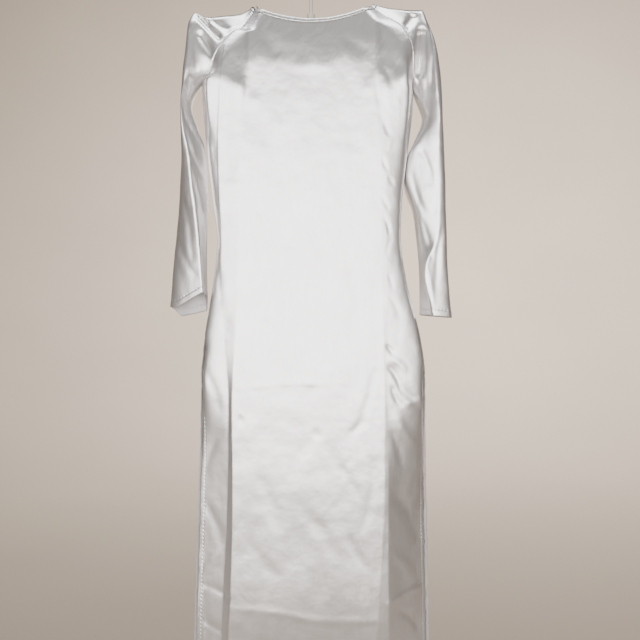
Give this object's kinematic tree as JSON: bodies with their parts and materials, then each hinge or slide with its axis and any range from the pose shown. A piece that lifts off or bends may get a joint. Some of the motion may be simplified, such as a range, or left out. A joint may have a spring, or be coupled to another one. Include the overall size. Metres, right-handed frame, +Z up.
{
  "type": "ao dai tunic on a hanger",
  "caption": "Long raglan-sleeved satin tunic with a boat neck and open side slits, hanging empty on a plain hanger.",
  "frame": {"origin": "inside of the top of the hanger's hook, where it hangs", "axes": "+Z up along the garment, -Y out of the front of the garment, +X to the wearer's left"},
  "size_m": [0.5332, 0.0881, 1.407],
  "materials": {
    "satin": "silver-white satin with a soft sheen",
    "binding": "the same satin cut on the bias",
    "fastener": "dark bent wire",
    "hanger": "plain moulded plastic"
  },
  "bodies": {
    "root": {"front_panel": "satin", "back_panel": "satin", "sleeve_right": "satin", "sleeve_left": "satin", "neck_binding": "binding", "neck_hook": "fastener", "neck_eye": "fastener", "hanger_bar": "hanger", "hanger_hook": "hanger"}
  },
  "joints": []
}
